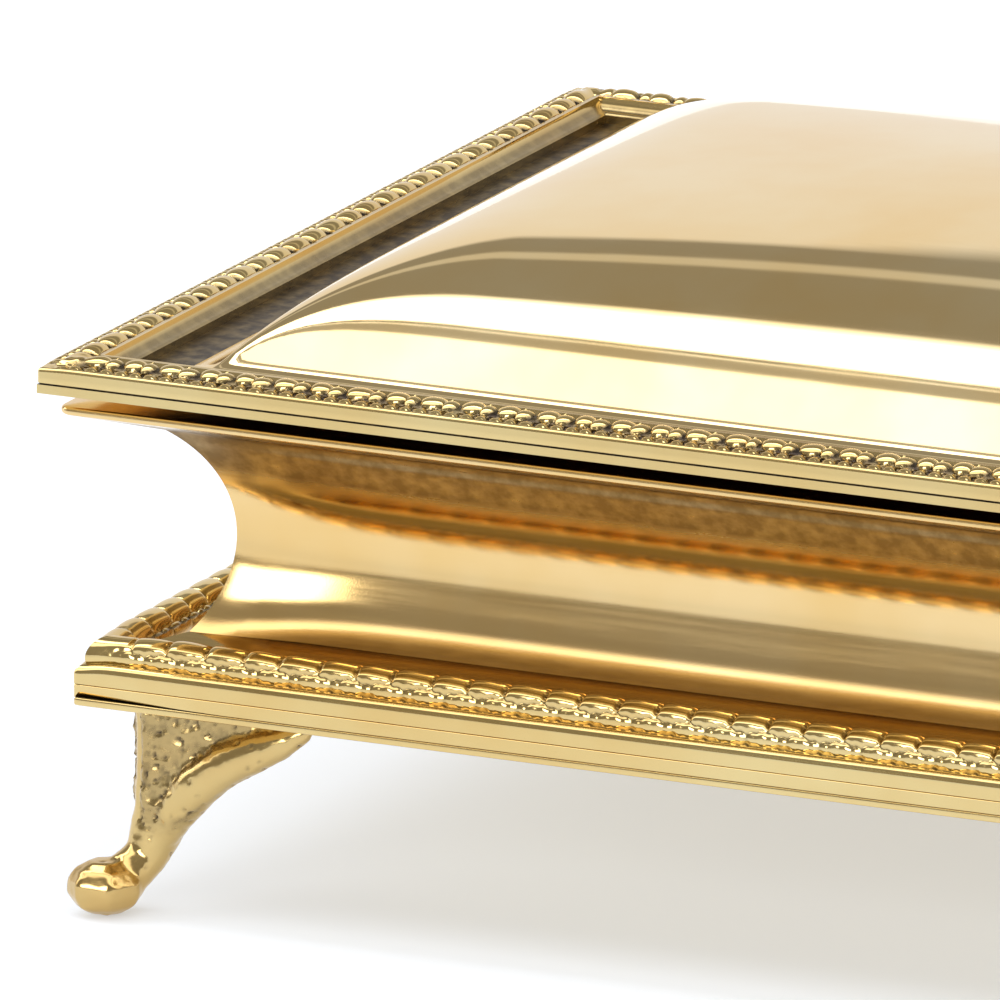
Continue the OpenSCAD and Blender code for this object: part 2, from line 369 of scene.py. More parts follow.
def frame_outline():
    """Flat ring under the base moulding."""
    outer = BASE_INSET
    return [
        (outer + 0.04, FRAME_LOW_Z), (outer + 7, FRAME_LOW_Z), (outer + 7, BASE_Z), (outer + 0.04, BASE_Z),
        (outer, BASE_Z - 0.04), (outer, FRAME_LOW_Z + 0.04),
    ]


def bottom_outline():
    """A quarter of the bottom plate, from its rounded edge to the middle of the case."""
    outer, round_r = BASE_INSET, 0.2
    middle = LID_D / 2
    pts = [(middle, FOOT_H), (middle, FRAME_LOW_Z)]
    pts += arc(outer + round_r, FRAME_LOW_Z - round_r, round_r, 90, 180, 4)
    pts += arc(outer + round_r, FOOT_H + round_r, round_r, 180, 270, 4)
    return pts


SCOTIA_R = 11.5
HOLLOW_IN = 12.4
HOLLOW_Z = BASE_Z + 9.9
HOLLOW_LOW = (8.1, math.radians(50))
HOLLOW_HIGH = (8.1, math.radians(36))
SCOTIA_Z = BASE_Z + 10.8
FLARE_N = 7.4
FOOT_N = 8.25


def wall_outline():
    lip = 0.35
    flare_z = SCOTIA_Z + math.sqrt(SCOTIA_R ** 2 - FLARE_N ** 2)
    top_angle = math.degrees(math.acos(FLARE_N / SCOTIA_R))
    low_angle = -math.degrees(math.acos(FOOT_N / SCOTIA_R))
    pts = arc(0, SCOTIA_Z, SCOTIA_R, low_angle, top_angle, 80)
    pts += line((FLARE_N, flare_z), (LIP_INSET + lip, LIP_TOP_Z - 2 * lip), 0.6)[1:]
    pts += arc(LIP_INSET + lip, LIP_TOP_Z - lip, lip, 270, 90, 10)
    pts += [(WALL_IN, LIP_TOP_Z), (WALL_IN, BASE_Z), (FOOT_N, BASE_Z)]
    return pts[::-1]


# ---------------------------------------------------------------- dome

DOME_EDGE_R = 27.0
DOME_FRONT_SLOPE = math.radians(54)
DOME_END_SLOPE = math.radians(52)
HIP_POWER = 4.0
FLANGE_W = 1.9
FLANGE_RISE = 0.15
COVE = 0.03


def pillow_height(distance, half, rise, slope):
    """Height of the pillow's section at a distance from its middle: tight edge arcs, a wide crown between."""
    edge_x = half - DOME_EDGE_R * math.sin(slope)
    edge_z = -DOME_EDGE_R * math.cos(slope)
    crown_slope = 2 * math.atan((rise - edge_z - DOME_EDGE_R) / edge_x)
    crown_r = DOME_EDGE_R + edge_x / math.sin(crown_slope)
    join = edge_x + DOME_EDGE_R * math.sin(crown_slope)
    d = np.abs(distance)
    crown = rise - crown_r + np.sqrt(np.maximum(crown_r ** 2 - d ** 2, 0))
    edge = edge_z + np.sqrt(np.maximum(DOME_EDGE_R ** 2 - (d - edge_x) ** 2, 0))
    return np.where(d < join, crown, edge)


def build_dome(material):
    """The pillow panel, with a narrow flange round it that turns up through a cove."""
    half_l = LID_L / 2 - DOME_IN
    half_d = LID_D / 2 - DOME_IN
    cols, rows = 280, 150
    x = np.linspace(-half_l, half_l, cols + 1)
    y = np.linspace(-half_d, half_d, rows + 1)
    grid_x, grid_y = np.meshgrid(x, y)
    body_rise = DOME_RISE - FLANGE_RISE
    share_x = pillow_height(grid_x, half_l - FLANGE_W, body_rise, DOME_END_SLOPE) / body_rise
    share_y = pillow_height(grid_y, half_d - FLANGE_W, body_rise, DOME_FRONT_SLOPE) / body_rise
    share_x = np.clip((share_x + np.sqrt(share_x ** 2 + COVE ** 2)) / 2, 0, 1)
    share_y = np.clip((share_y + np.sqrt(share_y ** 2 + COVE ** 2)) / 2, 0, 1)
    blend = share_x ** HIP_POWER + share_y ** HIP_POWER - (share_x * share_y) ** HIP_POWER
    height = body_rise * share_x * share_y / np.maximum(blend, 1e-9) ** (1 / HIP_POWER)
    to_rim = np.minimum(half_l - np.abs(grid_x), half_d - np.abs(grid_y))
    height = height + FLANGE_RISE * np.clip(to_rim / FLANGE_W, 0, 1)
    vertices = np.stack([grid_x, grid_y, CHANNEL_Z + height], axis=2).reshape(-1, 3)
    faces = []
    for j in range(rows):
        for i in range(cols):
            a = j * (cols + 1) + i
            faces.append((a, a + 1, a + cols + 2, a + cols + 1))
    piece = new_object("lid_dome_skin", vertices, faces, 60)
    return finish_piece(piece, "lid", "polished_brass", material, "lid_dome")


# ---------------------------------------------------------------- feet

# Leg and ridge: ((n on the diagonal, z), radius). Roll: ((a, b, z), radius). Web: (a, z).
# Toe: centre (a, b, z), then its radii along the diagonal, across it and upward.
FOOT_LEG = (
    ((4.6, 2.6), 1.9), ((5.4, 3.4), 1.8), ((6.2, 4.4), 1.75), ((6.8, 6.2), 2.1), ((7.3, 8.4), 2.3),
    ((7.9, 10.8), 2.6), ((8.6, 13.6), 3.0), ((9.0, 16.6), 3.3),
)
FOOT_RIDGE = (
    ((6.35, 16.6), 1.0), ((6.45, 13.0), 1.0), ((6.35, 10.2), 0.95), ((6.2, 7.6), 0.9), ((5.9, 5.4), 0.8),
)
FOOT_ROLL = (
    ((6.9, 6.4, 5.4), 1.35), ((8.6, 6.3, 8.2), 1.8), ((11.1, 5.6, 10.9), 1.85), ((13.7, 5.2, 12.9), 1.75),
    ((16.2, 5.0, 14.1), 1.55), ((18.5, 4.9, 15.2), 1.25), ((20.5, 4.8, 16.3), 0.8),
)
FOOT_WEB = (
    (6.6, 16.95), (6.4, 9.0), (7.4, 6.6), (9.2, 7.9), (11.8, 10.5), (14.2, 12.4), (16.6, 13.4), (18.8, 14.9),
    (20.8, 16.95),
)
FOOT_WEB_B = (5.0, 7.4)
FOOT_TOE = ((3.95, 3.95, 2.3), (3.3, 2.8, 2.3))
FOOT_VOXEL = 0.24


class Shells:
    """Closed overlapping shells, gathered before they are melted into one casting."""

    def __init__(self):
        self.vertices = []
        self.faces = []

    def add(self, vertices, faces):
        base = len(self.vertices)
        self.vertices += [tuple(map(float, v)) for v in vertices]
        self.faces += [tuple(base + i for i in face) for face in faces]

    def tube(self, path, radii, sides=14):
        """Round tube along a path, with domed ends."""
        path = [np.array(p, float) for p in path]
        tangents = [path[min(i + 1, len(path) - 1)] - path[max(i - 1, 0)] for i in range(len(path))]
        tangents = [t / np.linalg.norm(t) for t in tangents]
        rings = [(path[0] - tangents[0] * radii[0] * 0.8, 0.5 * radii[0], tangents[0])]
        rings += list(zip(path, radii, tangents))
        rings += [(path[-1] + tangents[-1] * radii[-1] * 0.8, 0.5 * radii[-1], tangents[-1])]
        vertices = []
        for centre, radius, tangent in rings:
            side = np.cross(tangent, (0.3, 0.9, 0.1))
            side /= np.linalg.norm(side)
            other = np.cross(tangent, side)
            for k in range(sides):
                angle = 2 * math.pi * k / sides
                vertices.append(centre + radius * (math.cos(angle) * side + math.sin(angle) * other))
        faces = []
        for i in range(len(rings) - 1):
            for k in range(sides):
                m = (k + 1) % sides
                faces.append((i * sides + k, i * sides + m, (i + 1) * sides + m, (i + 1) * sides + k))
        last = (len(rings) - 1) * sides
        faces.append(tuple(range(sides - 1, -1, -1)))
        faces.append(tuple(last + k for k in range(sides)))
        self.add(vertices, faces)

    def plate(self, corners, low, high, swap):
        """Prism of an (a, z) polygon from b = low to b = high, with a and b swapped for the other side."""
        vertices = [(a, b, z) for b in (low, high) for a, z in corners]
        if swap:
            vertices = [(b, a, z) for a, b, z in vertices]
        count = len(corners)
        faces = [tuple(range(count)), tuple(range(2 * count - 1, count - 1, -1))]
        for k in range(count):
            m = (k + 1) % count
            faces.append((k, count + k, count + m, m))
        self.add(vertices, faces)

    def ball(self, centre, radii, steps=7):
        """Ellipsoid with its long axis on the foot's diagonal, cut into facets like a dressed casting."""
        diagonal = np.array((1, 1, 0)) / math.sqrt(2)
        across = np.array((1, -1, 0)) / math.sqrt(2)
        up = np.array((0, 0, 1))
        vertices = []
        for i in range(1, steps):
            polar = math.pi * i / steps
            for k in range(steps):
                turn = 2 * math.pi * k / steps
                offset = diagonal * radii[0] * math.sin(polar) * math.cos(turn)
                offset = offset + across * radii[1] * math.sin(polar) * math.sin(turn)
                offset = offset + up * radii[2] * math.cos(polar)
                vertices.append(np.array(centre) + offset)
        faces = []
        for i in range(steps - 2):
            for k in range(steps):
                m = (k + 1) % steps
                faces.append((i * steps + k, (i + 1) * steps + k, (i + 1) * steps + m, i * steps + m))
        last = (steps - 2) * steps
        faces.append(tuple(range(steps)))
        faces.append(tuple(last + k for k in range(steps - 1, -1, -1)))
        self.add(vertices, faces)


def melted_foot():
    """One foot in its corner, as points (a, b, z): a and b are inward along X and Y from the lid's edges."""
    shells = Shells()
    shells.tube([(n, n, z) for (n, z), r in FOOT_LEG], [r for centre, r in FOOT_LEG])
    shells.tube([(n, n, z) for (n, z), r in FOOT_RIDGE], [r for centre, r in FOOT_RIDGE])
    shells.ball(*FOOT_TOE)
    for swap in (False, True):
        path = [(b, a, z) if swap else (a, b, z) for (a, b, z), r in FOOT_ROLL]
        shells.tube(path, [r for centre, r in FOOT_ROLL])
        shells.plate(FOOT_WEB, *FOOT_WEB_B, swap)
    mesh = bpy.data.meshes.new("foot_shells")
    mesh.from_pydata(shells.vertices, [], shells.faces)
    melt = bpy.data.objects.new("foot_shells", mesh)
    bpy.context.scene.collection.objects.link(melt)
    remesh = melt.modifiers.new("melt", "REMESH")
    remesh.mode = "VOXEL"
    remesh.voxel_size = FOOT_VOXEL
    soften = melt.modifiers.new("soften", "SMOOTH")
    soften.factor = 0.5
    soften.iterations = 4
    depsgraph = bpy.context.evaluated_depsgraph_get()
    result = melt.evaluated_get(depsgraph).to_mesh()
    points = np.array([v.co[:] for v in result.vertices])
    normals = np.array([v.normal[:] for v in result.vertices])
    faces = [tuple(p.vertices) for p in result.polygons]
    bpy.data.objects.remove(melt)
    return points, normals, faces


# Height of the casting's lumps in mm, and radii of its two kinds of pit in cells of their pattern
LUMP = 0.17
PIT_R = 0.38
SHALLOW_R = 0.22


def roughen(points, normals, seed):
    """Casting skin: pits in the hollow faces, light unevenness elsewhere. Returns points and patina."""
    offset = Vector((seed * 17.3, seed * 5.1, seed * 9.7))
    moved = points.copy()
    patina = np.zeros(len(points))
    for i, (point, normal) in enumerate(zip(points, normals)):
        a, b, z = point
        face_front = max(0.0, -normal[1]) * min(1, max(0, (b - 4.45) / 0.35)) * (a > 6.2)
        face_side = max(0.0, -normal[0]) * min(1, max(0, (a - 4.45) / 0.35)) * (b > 6.2)
        hollow = max(face_front, face_side) * min(1, max(0, (z - 6.5) / 1.5)) * (max(a, b) < 19.5)
        hollow = min(1, hollow * 1.3)
        place = Vector(point) + offset
        skin = mnoise.noise(place * 0.7) * 0.05 + mnoise.noise(place * 2.1) * 0.03
        lump = mnoise.fractal(place * 1.1, 0.9, 2.0, 4) * LUMP
        pit = max(0, 1 - mnoise.voronoi(place * 1.35)[0][0] / PIT_R)
        shallow = max(0, 1 - mnoise.voronoi(place * 0.75)[0][0] / SHALLOW_R)
        leg_pit = shallow * (z > 3.5) * (1 - hollow)
        moved[i] = point + normal * (hollow * (lump - 0.42 * pit) - 0.22 * leg_pit + skin * (1 - hollow))
        patina[i] = hollow * (0.3 + 1.3 * pit + 0.5 * max(0, -lump / LUMP)) + 0.7 * leg_pit
    moved[:, 2] = np.clip(moved[:, 2], 0, FOOT_H)
    return moved, np.clip(patina, 0, 1)


def build_feet(material):
    points, normals, faces = melted_foot()
    corners = (("front_left", -1, -1), ("front_right", 1, -1), ("back_left", -1, 1), ("back_right", 1, 1))
    for seed, (corner, side_x, side_y) in enumerate(corners):
        moved, patina = roughen(points, normals, seed)
        x = side_x * (LID_L / 2 - moved[:, 0])
        y = side_y * (LID_D / 2 - moved[:, 1])
        mirrored = side_x * side_y < 0
        shown = [face[::-1] for face in faces] if mirrored else faces
        piece = new_object(f"foot_{corner}_casting", np.stack([x, y, moved[:, 2]], axis=1), shown, 60)
        set_attribute(piece, "patina", patina)
        finish_piece(piece, "case", "cast_brass", material, f"foot_{corner}")


# ---------------------------------------------------------------- velvet

# The pad is simulated at this many times its size
PAD_SCALE = 10.0
PAD_VOXEL = 0.8
SIM_FRAMES = 20
# Share of a velvet slab's thickness lost in its slow dips, and their pattern's scale
NAP_DIP = 0.12
NAP_DIP_SCALE = 0.11


def rolled(distance, edge):
    """Quarter-round rise from 0 at the edge of a slab to 1 at the edge width."""
    return np.sqrt(1 - (1 - np.clip(distance / edge, 0, 1)) ** 2)


def soft_slab(length, width, thick, edge, step, mitred, seed):
    """Closed slab (u, v, w) with a flat back at w = 0 and a front that rolls over at its edges.

    Mitred ends slope at 45 degrees, to meet the next slab in a corner.
    """
    cols, rows = int(round(length / step)), int(round(width / step))
    u, v = np.meshgrid(np.linspace(0, length, cols + 1), np.linspace(0, width, rows + 1))
    to_end = np.minimum(u, length - u)
    to_edge = np.minimum(v, width - v)
    round_u = np.clip(to_end / thick, 0, 1) if mitred else rolled(to_end, edge)
    w = thick * round_u * rolled(to_edge, edge)
    places = zip(u.ravel() * NAP_DIP_SCALE, v.ravel() * NAP_DIP_SCALE)
    dip = [0.5 + 0.5 * mnoise.noise(Vector((a + seed, b, seed))) for a, b in places]
    w = w * (1 - NAP_DIP * np.array(dip).reshape(w.shape))
    count = (cols + 1) * (rows + 1)
    front = np.stack([u, v, w], axis=2).reshape(-1, 3)
    back = np.stack([u, v, 0 * w], axis=2).reshape(-1, 3)
    inside = ((to_end > 1e-6) & (to_edge > 1e-6)).ravel()
    back_index = np.where(inside, count + np.cumsum(inside) - 1, np.arange(count))
    vertices = np.concatenate([front, back[inside]])
    faces = []
    for j in range(rows):
        for i in range(cols):
            a = j * (cols + 1) + i
            corners = (a, a + 1, a + cols + 2, a + cols + 1)
            faces.append(corners)
            faces.append(tuple(int(back_index[k]) for k in corners[::-1]))
    return vertices, faces


def face_outwards(piece):
    work = bmesh.new()
    work.from_mesh(piece.data)
    bmesh.ops.recalc_face_normals(work, faces=work.faces)
    work.to_mesh(piece.data)
    work.free()
    piece.data.shade_smooth()


def swell(piece, pressure, cap):
    """Blows a closed slab up with Cloth, its underside held, and caps how far each point moves."""
    remesh = piece.modifiers.new("even_mesh", "REMESH")
    remesh.mode = "VOXEL"
    remesh.voxel_size = PAD_VOXEL * PAD_SCALE * MM
    bpy.context.view_layer.update()
    depsgraph = bpy.context.evaluated_depsgraph_get()
    piece.data = bpy.data.meshes.new_from_object(piece.evaluated_get(depsgraph))
    piece.modifiers.clear()
    start = np.array([v.co[:] for v in piece.data.vertices])
    held = piece.vertex_groups.new(name="held")
    underside = start[:, 2].min() + 0.3 * PAD_SCALE * MM
    held.add([i for i, point in enumerate(start) if point[2] < underside], 1.0, "ADD")
    cloth = piece.modifiers.new("swell", "CLOTH")
    cloth.settings.use_pressure = True
    cloth.settings.uniform_pressure_force = pressure
    cloth.settings.effector_weights.gravity = 0
    cloth.settings.vertex_group_mass = "held"
    cloth.settings.mass = 0.1
    cloth.settings.quality = 4
    cloth.point_cache.frame_start = 1
    cloth.point_cache.frame_end = SIM_FRAMES
    for moment in range(1, SIM_FRAMES + 1):
        bpy.context.scene.frame_set(moment)
    depsgraph = bpy.context.evaluated_depsgraph_get()
    end = np.array([v.co[:] for v in piece.evaluated_get(depsgraph).data.vertices])
    piece.modifiers.clear()
    piece.vertex_groups.clear()
    bpy.context.scene.frame_set(1)
    move = end - start
    size = np.linalg.norm(move, axis=1, keepdims=True)
    limit = cap * PAD_SCALE * MM
    move *= np.minimum(1, limit / np.maximum(size, 1e-9))
    piece.data.vertices.foreach_set("co", (start + move).ravel())


def build_pad(material):
    """The loose needle pad on the floor of the case."""
    low, high = box_mm("needle_pad")
    shrink = 0.3
    size = high - low - 2 * shrink
    vertices, faces = soft_slab(size[0], size[1], size[2] * 0.86, 2.6, 1.0, False, 3.0)
    piece = new_object("needle_pad_velvet", vertices * PAD_SCALE, faces)
    face_outwards(piece)
    swell(piece, 0.7, 1.5)
    points = np.array([v.co[:] for v in piece.data.vertices]) / PAD_SCALE / MM
    points += np.array((low[0] + shrink, low[1] + shrink, low[2]))
    points = np.clip(points, low + 0.02, high + (0, 0, 1.0))
    piece.data.vertices.foreach_set("co", (points * MM).ravel())
    piece.data.update()
    piece.data.shade_smooth()
    finish_piece(piece, "case", "velvet", material, "needle_pad")


def build_liners(material):
    """Velvet over thin card: one panel on each wall and one under the lid."""
    low, high = box_mm("liner_front")
    back_n = low[1] - lid_low[1]
    thick = high[1] - low[1]
    height = high[2] - low[2]
    for seed, side in enumerate(SIDES):
        length = side_length(side) - 2 * back_n
        vertices, faces = soft_slab(length, height, thick, 1.0, 0.9, True, seed)
        x, y = side_place(side, vertices[:, 0] + back_n, vertices[:, 2] + back_n)
        piece = new_object(f"liner_{side}_velvet", np.stack([x, y, low[2] + vertices[:, 1]], axis=1), faces)
        face_outwards(piece)
        finish_piece(piece, "case", "velvet", material, f"liner_{side}")
    low, high = box_mm("lid_liner")
    size = high - low
    vertices, faces = soft_slab(size[0], size[1], size[2], 1.0, 1.0, False, 9.0)
    placed = np.stack([low[0] + vertices[:, 0], low[1] + vertices[:, 1], high[2] - vertices[:, 2]], axis=1)
    piece = new_object("lid_liner_velvet", placed, faces)
    face_outwards(piece)
    finish_piece(piece, "lid", "velvet", material, "lid_liner")


# ---------------------------------------------------------------- materials

def new_material(name):
    material = bpy.data.materials.new(name)
    material.use_nodes = True
    tree = material.node_tree
    tree.nodes.clear()
    output = tree.nodes.new("ShaderNodeOutputMaterial")
    shader = tree.nodes.new("ShaderNodeBsdfPrincipled")
    tree.links.new(shader.outputs["BSDF"], output.inputs["Surface"])
    return material, tree, shader


def object_coords(tree, scale):
    coords = tree.nodes.new("ShaderNodeTexCoord")
    mapping = tree.nodes.new("ShaderNodeMapping")
    mapping.inputs["Scale"].default_value = scale
    tree.links.new(coords.outputs["Object"], mapping.inputs["Vector"])
    return mapping.outputs["Vector"]


def noise(tree, vector, scale, detail=4.0, roughness=0.55):
    node = tree.nodes.new("ShaderNodeTexNoise")
    node.inputs["Scale"].default_value = scale
    node.inputs["Detail"].default_value = detail
    node.inputs["Roughness"].default_value = roughness
    tree.links.new(vector, node.inputs["Vector"])
    return node.outputs["Fac"]


def map_range(tree, value, from_low, from_high, to_low, to_high):
    node = tree.nodes.new("ShaderNodeMapRange")
    node.inputs["From Min"].default_value = from_low
    node.inputs["From Max"].default_value = from_high
    node.inputs["To Min"].default_value = to_low
    node.inputs["To Max"].default_value = to_high
    tree.links.new(value, node.inputs["Value"])
    return node.outputs["Result"]


def mix_colour(tree, factor, first, second):
    node = tree.nodes.new("ShaderNodeMix")
    node.data_type = "RGBA"
    tree.links.new(factor, node.inputs["Factor"])
    for socket, value in ((node.inputs["A"], first), (node.inputs["B"], second)):
        if isinstance(value, tuple):
            socket.default_value = (*value, 1)
        else:
            tree.links.new(value, socket)
    return node.outputs["Result"]


def add_bump(tree, shader, height, strength, distance_mm):
    node = tree.nodes.new("ShaderNodeBump")
    node.inputs["Strength"].default_value = strength
    node.inputs["Distance"].default_value = distance_mm * MM
    tree.links.new(height, node.inputs["Height"])
    previous = shader.inputs["Normal"].links
    if previous:
        tree.links.new(previous[0].from_socket, node.inputs["Normal"])
    tree.links.new(node.outputs["Normal"], shader.inputs["Normal"])


BRASS = (0.86, 0.69, 0.40)
BRASS_WARM = (0.84, 0.62, 0.30)
SATIN = (0.80, 0.58, 0.28)
SATIN_WARM = (0.76, 0.51, 0.20)
EDGE_BRASS = (0.72, 0.56, 0.26)
EDGE_WARM = (0.68, 0.48, 0.19)
# Near black: patina in the hollows, and painted shade in the gap under the base ring.
PATINA_AND_GAP_SHADE = (0.045, 0.034, 0.028)
TARNISH = (0.12, 0.062, 0.012)
CAST_BRASS = (0.62, 0.46, 0.20)
CAST_WARM = (0.57, 0.38, 0.14)


def brass(name, roughness, colour=BRASS, tint=BRASS_WARM, patina=None, patina_and_shade_colour=PATINA_AND_GAP_SHADE,
          scratches=0.25, grain=None, wobble=0.0):
    """Brass with slow changes of tint, fine rubbing marks along X, and dark patina and painted shade where
    they are asked for.

    roughness is the range over the rubbing marks. patina names a mesh attribute, or "up" for faces that look
    up, and the colour argument after it colours the patina, and the painted shade where there is some. grain
    is the size and strength of a fine grain, and wobble the depth of slow unevenness.
    """
    material, tree, shader = new_material(name)
    shader.inputs["Metallic"].default_value = 1.0
    plain = object_coords(tree, (1, 1, 1))
    clouds = noise(tree, plain, 70, 3)
    tinted = mix_colour(tree, map_range(tree, clouds, 0.35, 0.7, 0, 1), colour, tint)
    streaks = noise(tree, object_coords(tree, (0.03, 1, 1)), 2600, 3)
    rough = map_range(tree, streaks, 0.3, 0.8, roughness[0], roughness[1])
    if patina:
        speckle = map_range(tree, noise(tree, plain, 700, 5), 0.3, 0.6, 0.75, 1)
        if patina == "up":
            geometry = tree.nodes.new("ShaderNodeNewGeometry")
            split = tree.nodes.new("ShaderNodeSeparateXYZ")
            tree.links.new(geometry.outputs["True Normal"], split.inputs[0])
            amount = map_range(tree, split.outputs["Z"], 0.4, 0.6, 0, 1)
        else:
            attribute = tree.nodes.new("ShaderNodeAttribute")
            attribute.attribute_name = patina
            amount = attribute.outputs["Fac"]
        # Speckled mask of patina, and of painted shade where the attribute holds it.
        patina_and_shade = tree.nodes.new("ShaderNodeMath")
        patina_and_shade.operation = "MULTIPLY"
        tree.links.new(amount, patina_and_shade.inputs[0])
        tree.links.new(speckle, patina_and_shade.inputs[1])
        tinted = mix_colour(tree, patina_and_shade.outputs[0], tinted, patina_and_shade_colour)
        add = tree.nodes.new("ShaderNodeMath")
        add.operation = "ADD"
        tree.links.new(rough, add.inputs[0])
        tree.links.new(map_range(tree, patina_and_shade.outputs[0], 0, 1, 0, 0.25), add.inputs[1])
        rough = add.outputs[0]
    tree.links.new(tinted, shader.inputs["Base Color"])
    tree.links.new(rough, shader.inputs["Roughness"])
    if wobble:
        add_bump(tree, shader, noise(tree, plain, 45, 2), 1.0, wobble)
    if scratches:
        add_bump(tree, shader, streaks, scratches, 0.002)
    if grain:
        add_bump(tree, shader, noise(tree, plain, grain[0], 2), grain[1], 0.004)
    return material


def velvet(name, colour, edge):
    material, tree, shader = new_material(name)
    plain = object_coords(tree, (1, 1, 1))
    nap = noise(tree, plain, 140, 3)
    shade = mix_colour(tree, map_range(tree, nap, 0.3, 0.7, 0, 1), colour, edge)
    tree.links.new(shade, shader.inputs["Base Color"])
    shader.inputs["Roughness"].default_value = 0.9
    shader.inputs["Sheen Weight"].default_value = 0.7
    shader.inputs["Sheen Roughness"].default_value = 0.35
    shader.inputs["Sheen Tint"].default_value = (0.9, 0.35, 0.4, 1)
    add_bump(tree, shader, noise(tree, plain, 3500, 2), 0.6, 0.15)
    return material


polished = brass("polished_brass", (0.04, 0.08), scratches=0.25, wobble=0.02)
satin = brass(
    "satin_brass", (0.10, 0.17), SATIN, SATIN_WARM, patina="patina", patina_and_shade_colour=TARNISH,
    scratches=0.2, grain=(7000, 0.5),
)
ornament = brass("moulding_brass", (0.07, 0.14), EDGE_BRASS, EDGE_WARM, patina="patina", scratches=0.1)
plain_sheet = brass("brass_sheet", (0.10, 0.2), EDGE_BRASS, EDGE_WARM, patina="patina", scratches=0.2)
stained_sheet = brass("stained_sheet", (0.12, 0.2), EDGE_BRASS, EDGE_WARM, patina="up", scratches=0.2)
cast = brass("cast_brass", (0.12, 0.24), CAST_BRASS, CAST_WARM, patina="patina", scratches=0.1)
hinge_metal = brass("hinge_brass", (0.2, 0.3), EDGE_BRASS, EDGE_WARM)
pin_metal = brass("hinge_pin_steel", (0.25, 0.35), (0.5, 0.48, 0.45), (0.4, 0.38, 0.35))
burgundy = velvet("velvet", (0.10, 0.006, 0.018), (0.17, 0.012, 0.03))


# ---------------------------------------------------------------- pieces

def build_sides():
    lid_corner = (0.0, 0.3)
    base_corner = (BASE_INSET, 0.35)
    wall_corner = (LIP_INSET, 1.2)
    for side in SIDES:
        length = side_length(side)
        piece = sweep_side(
            f"lid_moulding_{side}_relief", side, lid_outline(), even_stations(length, 0.13),
            lid_relief, 2.4, lid_corner, 0.12, lid_dirt,
        )
        finish_piece(piece, "lid", "moulding_brass", ornament, f"lid_moulding_{side}")
        piece = sweep_side(
            f"base_moulding_{side}_relief", side, base_outline(), even_stations(length, 0.14),
            base_relief, 6.0, base_corner, 0.3, base_dirt,
        )
        finish_piece(piece, "case", "moulding_brass", ornament, f"base_moulding_{side}")
        piece = sweep_side(
            f"wall_{side}_skin", side, wall_outline(), end_stations(length, 2.0, 0.3, 4.0),
            wall_hollow, 0.001, wall_corner, 0.0, wall_dirt,
        )
        finish_piece(piece, "case", "satin_brass", satin, f"wall_{side}")
        # The ring and the bottom plate carry painted shade: black inside the gap between them.
        stations = end_stations(length, 4.0, 0.4, 14.0)
        piece = sweep_side(
            f"base_frame_{side}_ring", side, frame_outline(), stations,
            frame_relief, 0.001, base_corner, 0.0, gap_painted_shade,
        )
        finish_piece(piece, "case", "brass_sheet", plain_sheet, "base_frame")
        piece = sweep_side(
            f"bottom_plate_{side}_part", side, bottom_outline(), stations,
            None, 1.0, base_corner, 0.0, gap_painted_shade,
        )
        finish_piece(piece, "case", "brass_sheet", plain_sheet, "bottom_plate")


build_sides()
build_dome(polished)
build_feet(cast)
build_pad(burgundy)
build_liners(burgundy)


def paint_node(node, material):
    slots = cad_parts[node].data.materials
    slots.clear()
    slots.append(material)


paint_node("lid_plate", stained_sheet)
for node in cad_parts:
    if node.startswith("hinge_pin"):
        paint_node(node, pin_metal)
    elif node.startswith("hinge"):
        paint_node(node, hinge_metal)


# ---------------------------------------------------------------- stage, light and camera

def build_floor():
    size = 4000.0
    vertices = [(-size, -size, 0), (size, -size, 0), (size, size, 0), (-size, size, 0)]
    floor = new_object("floor", vertices, [(0, 1, 2, 3)])
    material, tree, shader = new_material("floor_paper")
    speckle = noise(tree, object_coords(tree, (1, 1, 1)), 40, 2)
    # Painted light correction: the paper is bluish to cancel the warm light the brass bounces onto it.
    paper = mix_colour(tree, speckle, (0.50, 0.545, 0.63), (0.52, 0.565, 0.65))
    tree.links.new(paper, shader.inputs["Base Color"])
    shader.inputs["Roughness"].default_value = 0.8
    shader.inputs["Emission Color"].default_value = (1, 1, 1, 1)
    place = tree.nodes.new("ShaderNodeSeparateXYZ")
    tree.links.new(object_coords(tree, (1, 1, 1)), place.inputs[0])
    # Painted light: the floor glows more under and just in front of the case than further forward, which
    # lightens the shadow there.
    painted_glow = map_range(tree, place.outputs["Y"], -0.20, -0.07, 0.22, 0.43)
    tree.links.new(painted_glow, shader.inputs["Emission Strength"])
    shader.inputs["Specular IOR Level"].default_value = 0.1
    floor.data.materials.append(material)


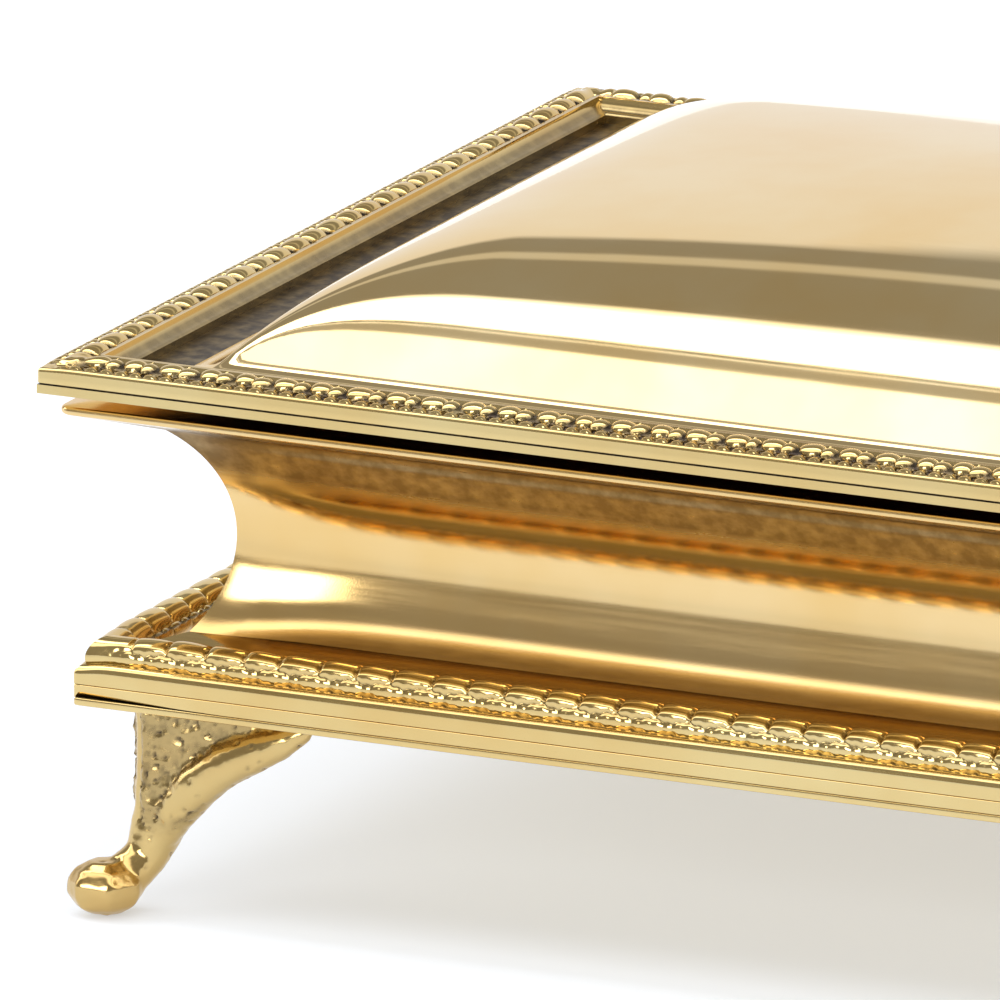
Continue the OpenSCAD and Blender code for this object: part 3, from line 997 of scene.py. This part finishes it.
class Studio:
    """World of long soft boxes parallel to the case's front.

    A box's place is its turn in degrees about the X axis: 0 is level behind the case, 90 overhead, 180 level
    in front.
    """

    def __init__(self, gap_colour):
        world = bpy.data.worlds.new("studio")
        bpy.context.scene.world = world
        world.use_nodes = True
        self.tree = world.node_tree
        self.background = self.tree.nodes["Background"]
        coords = self.tree.nodes.new("ShaderNodeTexCoord")
        split = self.tree.nodes.new("ShaderNodeSeparateXYZ")
        self.tree.links.new(coords.outputs["Generated"], split.inputs[0])
        turn = self.tree.nodes.new("ShaderNodeMath")
        turn.operation = "ARCTAN2"
        self.tree.links.new(split.outputs["Z"], turn.inputs[0])
        self.tree.links.new(split.outputs["Y"], turn.inputs[1])
        self.turn = turn.outputs[0]
        self.sideways = split.outputs["X"]
        gap = self.tree.nodes.new("ShaderNodeRGB")
        gap.outputs[0].default_value = (*gap_colour, 1)
        self.light = gap.outputs[0]

    def edge(self, value, place, soft, before, after):
        """Goes from before to after as the value passes the place, over a soft width on each side of it."""
        return map_range(self.tree, value, place - soft, place + soft, before, after)

    def box(self, start, end, soft_start, soft_end, colour):
        """A strip from the start to the end turn, each side fading over its own number of degrees."""
        low = self.edge(self.turn, math.radians(start), math.radians(soft_start / 2), 0, 1)
        high = self.edge(self.turn, math.radians(end), math.radians(soft_end / 2), 1, 0)
        both = self.tree.nodes.new("ShaderNodeMath")
        both.operation = "MULTIPLY"
        self.tree.links.new(low, both.inputs[0])
        self.tree.links.new(high, both.inputs[1])
        self.light = mix_colour(self.tree, both.outputs[0], self.light, colour)

    def key_box(self, start, end, left, right, colour):
        """A box that also ends to the left and right, given as the X part of its directions."""
        soft_turn, soft_side = math.radians(2), 0.04
        masks = [
            self.edge(self.turn, math.radians(start), soft_turn, 0, 1),
            self.edge(self.turn, math.radians(end), soft_turn, 1, 0),
            self.edge(self.sideways, left, soft_side, 0, 1),
            self.edge(self.sideways, right, soft_side, 1, 0),
        ]
        both = masks[0]
        for mask in masks[1:]:
            multiply = self.tree.nodes.new("ShaderNodeMath")
            multiply.operation = "MULTIPLY"
            self.tree.links.new(both, multiply.inputs[0])
            self.tree.links.new(mask, multiply.inputs[1])
            both = multiply.outputs[0]
        self.light = mix_colour(self.tree, both, self.light, colour)

    def finish(self):
        self.tree.links.new(self.light, self.background.inputs["Color"])
        self.background.inputs["Strength"].default_value = 1.0


def build_light():
    studio = Studio(gap_colour=(0.34, 0.325, 0.29))
    studio.box(-10, 34, 1, 3, (0.95, 0.92, 0.90))
    studio.box(46, 51.5, 2, 2, (0.70, 0.68, 0.64))
    studio.box(82, 97, 5, 1.2, (4.5, 4.5, 4.5))
    studio.box(98.5, 99.3, 0.5, 0.5, (1.6, 1.6, 1.6))
    studio.box(99.3, 103.5, 0.5, 1.0, (0.55, 0.53, 0.48))
    studio.box(103.5, 127, 1.0, 7, (2.35, 2.3, 2.2))
    studio.key_box(150, 174, -0.31, 0.25, (7.0, 7.0, 6.8))
    studio.finish()


def build_camera():
    """The photograph's viewing angle: a long lens, so the perspective is nearly parallel."""
    azimuth, elevation = math.radians(25.7), math.radians(15.06)
    distance = 3200.0
    lens_per_mm = 0.468
    right = np.array([math.cos(azimuth), math.sin(azimuth), 0])
    back = np.array([
        math.sin(azimuth) * math.cos(elevation),
        -math.cos(azimuth) * math.cos(elevation),
        math.sin(elevation),
    ])
    up = np.cross(back, right)
    corner = np.array([-LID_L / 2, -LID_D / 2, LID_EDGE_Z])
    aim = corner + 35.65 * right - 10.3 * up
    camera = bpy.data.objects.new("camera", bpy.data.cameras.new("camera"))
    bpy.context.scene.collection.objects.link(camera)
    camera.location = Vector(aim + back * distance) * MM
    camera.rotation_euler = Vector(back).to_track_quat("Z", "Y").to_euler()
    camera.data.sensor_width = 36
    camera.data.lens = lens_per_mm * distance
    camera.data.clip_start = 0.05
    camera.data.clip_end = 50
    bpy.context.scene.camera = camera


build_floor()
build_light()
build_camera()
scene = bpy.context.scene
scene.view_settings.view_transform = "Standard"
scene.view_settings.look = "None"
